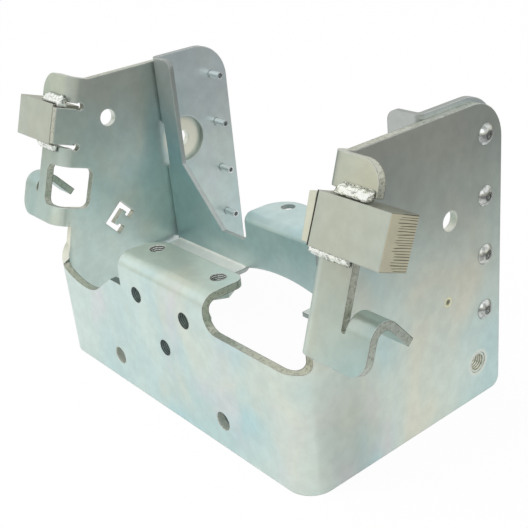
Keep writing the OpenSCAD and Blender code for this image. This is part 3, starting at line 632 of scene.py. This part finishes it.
def with_saw_marks(material, lean, pitch, rear):
    # the marks run level across the leaning block, wander a little and open towards its rear edge
    tree = material.node_tree
    level = mapped(tree, object_place(tree), turn=(lean, 0, 0))
    axes = added(tree, "SeparateXYZ", Vector=level).outputs
    wander = noise(tree, mapped(tree, level, (0, 0.08, 1)), 500, 2)
    phase = maths(tree, "ADD", maths(tree, "MULTIPLY", axes["Z"], 2 * math.pi / pitch),
                  maths(tree, "MULTIPLY", wander, 9.0))
    lines = spread(tree, maths(tree, "SINE", phase), 0.35, 0.95, 0.0, 0.9)
    reach = spread(tree, axes["Y"], rear - 0.0110, rear - 0.0035)
    uneven = spread(tree, noise(tree, mapped(tree, level, (0, 0.1, 1)), 420, 2), 0.35, 0.65,
                    -0.25, 0.25)
    length = spread(tree, maths(tree, "ADD", reach, uneven), 0.35, 0.6)
    return painted(material, blended(tree, maths(tree, "MULTIPLY", lines, length),
                                     colour_of(material), (0.07, 0.07, 0.045, 1)))


sawn_finish = with_saw_marks(sawn_finish, lean=math.radians(21.5), pitch=0.0008, rear=-0.0609)
sawn_finish = with_painted_corner_light(sawn_finish, (0.9, 0.9, 0.8, 1), amount=0.0, edge_shade=0.95)
# both ends of a block are sawn, but its top and the left one's inward end are left in shade
square_on = 0.8
for side in ("left_stop_block", "right_stop_block"):
    block = merged_copy(side)
    for face in block.data.polygons:
        inward_end = side == "left_stop_block" and face.normal.x > square_on
        if inward_end or face.normal.z > square_on:
            face.material_index = 2
        else:
            face.material_index = int(abs(face.normal.x) > square_on)
    show(block, side, [block_finish, sawn_finish, shaded_finish])

# Welds. Short hand-laid beads of bright weld metal above and below each block. Each is remeshed
# finely and pitted inwards, so that its ripples are broken and sparkle.

weld_finish = steel_material(
    "weld_bead", metal=0.95, bump=0.7, Clean=(0.94, 0.97, 0.93, 1), Cool=(0.84, 0.90, 0.87, 1),
    Warm=(0.93, 0.93, 0.80, 1), Lilac=(0.9, 0.93, 0.92, 1), Dull=(0.94, 0.96, 0.90, 1), Satin=0.16)
weld_finish = with_torn_grain(weld_finish, pit=(0.16, 0.17, 0.13, 1), scale=520, low=0.36,
                              high=0.46)
lumps = bpy.data.textures.new("weld_lumps", "CLOUDS")
lumps.noise_scale = 0.0017
lumps.noise_depth = 3
for bead in ("left_upper_weld", "left_lower_weld", "right_upper_weld", "right_lower_weld"):
    piece = merged_copy(bead)
    fine = piece.modifiers.new("fine", "REMESH")
    fine.mode = "VOXEL"
    fine.voxel_size = 0.00028
    fine.use_smooth_shade = True
    pitted = piece.modifiers.new("pitted", "DISPLACE")
    pitted.texture = lumps
    pitted.texture_coords = "LOCAL"
    pitted.mid_level = 0.0
    pitted.strength = -0.0012
    show(piece, bead, [weld_finish])

# Floor. A plain white table, on which the bracket leaves a faint soft shadow. To the camera and in
# reflections it also glows, so that it is pale without more light on the steel.

floor_mesh = bpy.data.meshes.new("floor")
bm = bmesh.new()
bmesh.ops.create_grid(bm, x_segments=1, y_segments=1, size=3.0)
bm.to_mesh(floor_mesh)
bm.free()
floor = bpy.data.objects.new("floor", floor_mesh)
bpy.context.scene.collection.objects.link(floor)
floor_finish = bpy.data.materials.new("white_table")
floor_finish.use_nodes = True
tree = floor_finish.node_tree
shader = tree.nodes["Principled BSDF"]
shader.inputs["Base Color"].default_value = (0.92, 0.92, 0.92, 1)
shader.inputs["Roughness"].default_value = 0.9
shader.inputs["Specular IOR Level"].default_value = 0.0
# the reflections darken towards the right rear, away from the lamps
to_rear = added(tree, "VectorMath")
to_rear.operation = "DOT_PRODUCT"
feed(tree, to_rear.inputs[0], object_place(tree))
feed(tree, to_rear.inputs[1], (0.85, 0.5, 0))
reflected = spread(tree, to_rear.outputs["Value"], 0.09, 0.27, 1.0, 0.05)
light_path = added(tree, "LightPath").outputs
glow_strength = blended(tree, light_path["Is Glossy Ray"], 1.02, reflected, kind="FLOAT")
glow = added(tree, "Emission", Strength=glow_strength)
seen_share = maths(tree, "MULTIPLY", light_path["Is Camera Ray"], 0.91)
reflected_share = maths(tree, "MULTIPLY", light_path["Is Glossy Ray"], 0.65)
lit = added(tree, "MixShader", Fac=maths(tree, "MAXIMUM", seen_share, reflected_share))
feed(tree, lit.inputs[1], shader.outputs["BSDF"])
feed(tree, lit.inputs[2], glow.outputs["Emission"])
feed(tree, tree.nodes["Material Output"].inputs["Surface"], lit.outputs["Shader"])
floor.data.materials.append(floor_finish)

# Light. A bright overcast sky, a large soft lamp from the front left above, and a weak one from the
# right. Reflected in the steel, the sky is dimmer and warmer near the horizon.

world = bpy.data.worlds.new("studio")
bpy.context.scene.world = world
world.use_nodes = True
tree = world.node_tree
sky = tree.nodes["Background"]
direction = added(tree, "SeparateXYZ", Vector=added(tree, "TexCoord").outputs["Generated"])
height = direction.outputs["Z"]
light_path = added(tree, "LightPath").outputs
reflected = spread(tree, height, 0.0, 0.35, 0.66, 1.0)
level = blended(tree, light_path["Is Glossy Ray"], 0.75, reflected, kind="FLOAT")
strength = blended(tree, light_path["Is Camera Ray"], level, 1.0, kind="FLOAT")
feed(tree, sky.inputs["Strength"], strength)
near_horizon = maths(tree, "MULTIPLY", spread(tree, height, 0.02, 0.4, 1.0, 0.0),
                     light_path["Is Glossy Ray"])
feed(tree, sky.inputs["Color"], blended(tree, near_horizon, (1.0, 1.0, 1.0, 1),
                                        (1.0, 0.98, 0.84, 1)))


def soft_lamp(name, place, size, power):
    data = bpy.data.lights.new(name, "AREA")
    data.size = size
    data.energy = power
    lamp = bpy.data.objects.new(name, data)
    bpy.context.scene.collection.objects.link(lamp)
    lamp.location = place
    aim = Vector((0, 0, 0.05)) - Vector(place)
    lamp.rotation_euler = aim.to_track_quat("-Z", "Y").to_euler()
    return lamp


front_lamp = soft_lamp("front_lamp", place=(-0.55, -0.85, 0.85), size=0.7, power=4.0)
front_lamp.visible_glossy = False
soft_lamp("side_lamp", place=(1.0, -0.3, 0.6), size=0.5, power=0.6)

# Camera. It stands to the right of the front, above the bracket, and is rolled a little. Its place,
# its angles and its lens were solved from the edges, folds and holes of the photographed bracket.

turn, rise, roll = math.radians(52.613), math.radians(25.298), math.radians(-5.93)
picture_width, focal_length = 528, 953.7
back = Vector((math.sin(turn) * math.cos(rise), -math.cos(turn) * math.cos(rise), math.sin(rise)))
level_right = Vector((math.cos(turn), math.sin(turn), 0))
level_up = back.cross(level_right)
right = math.cos(roll) * level_right + math.sin(roll) * level_up
up = -math.sin(roll) * level_right + math.cos(roll) * level_up
view = bpy.data.cameras.new("view")
view.sensor_width = 36
view.lens = focal_length / picture_width * view.sensor_width
view.clip_start = 0.01
view.clip_end = 20
camera = bpy.data.objects.new("view", view)
bpy.context.scene.collection.objects.link(camera)
camera.matrix_world = Matrix((
    (right.x, up.x, back.x, 0.275458), (right.y, up.y, back.y, -0.207738),
    (right.z, up.z, back.z, 0.208221), (0, 0, 0, 1)))
bpy.context.scene.camera = camera
bpy.context.scene.view_settings.view_transform = "Standard"
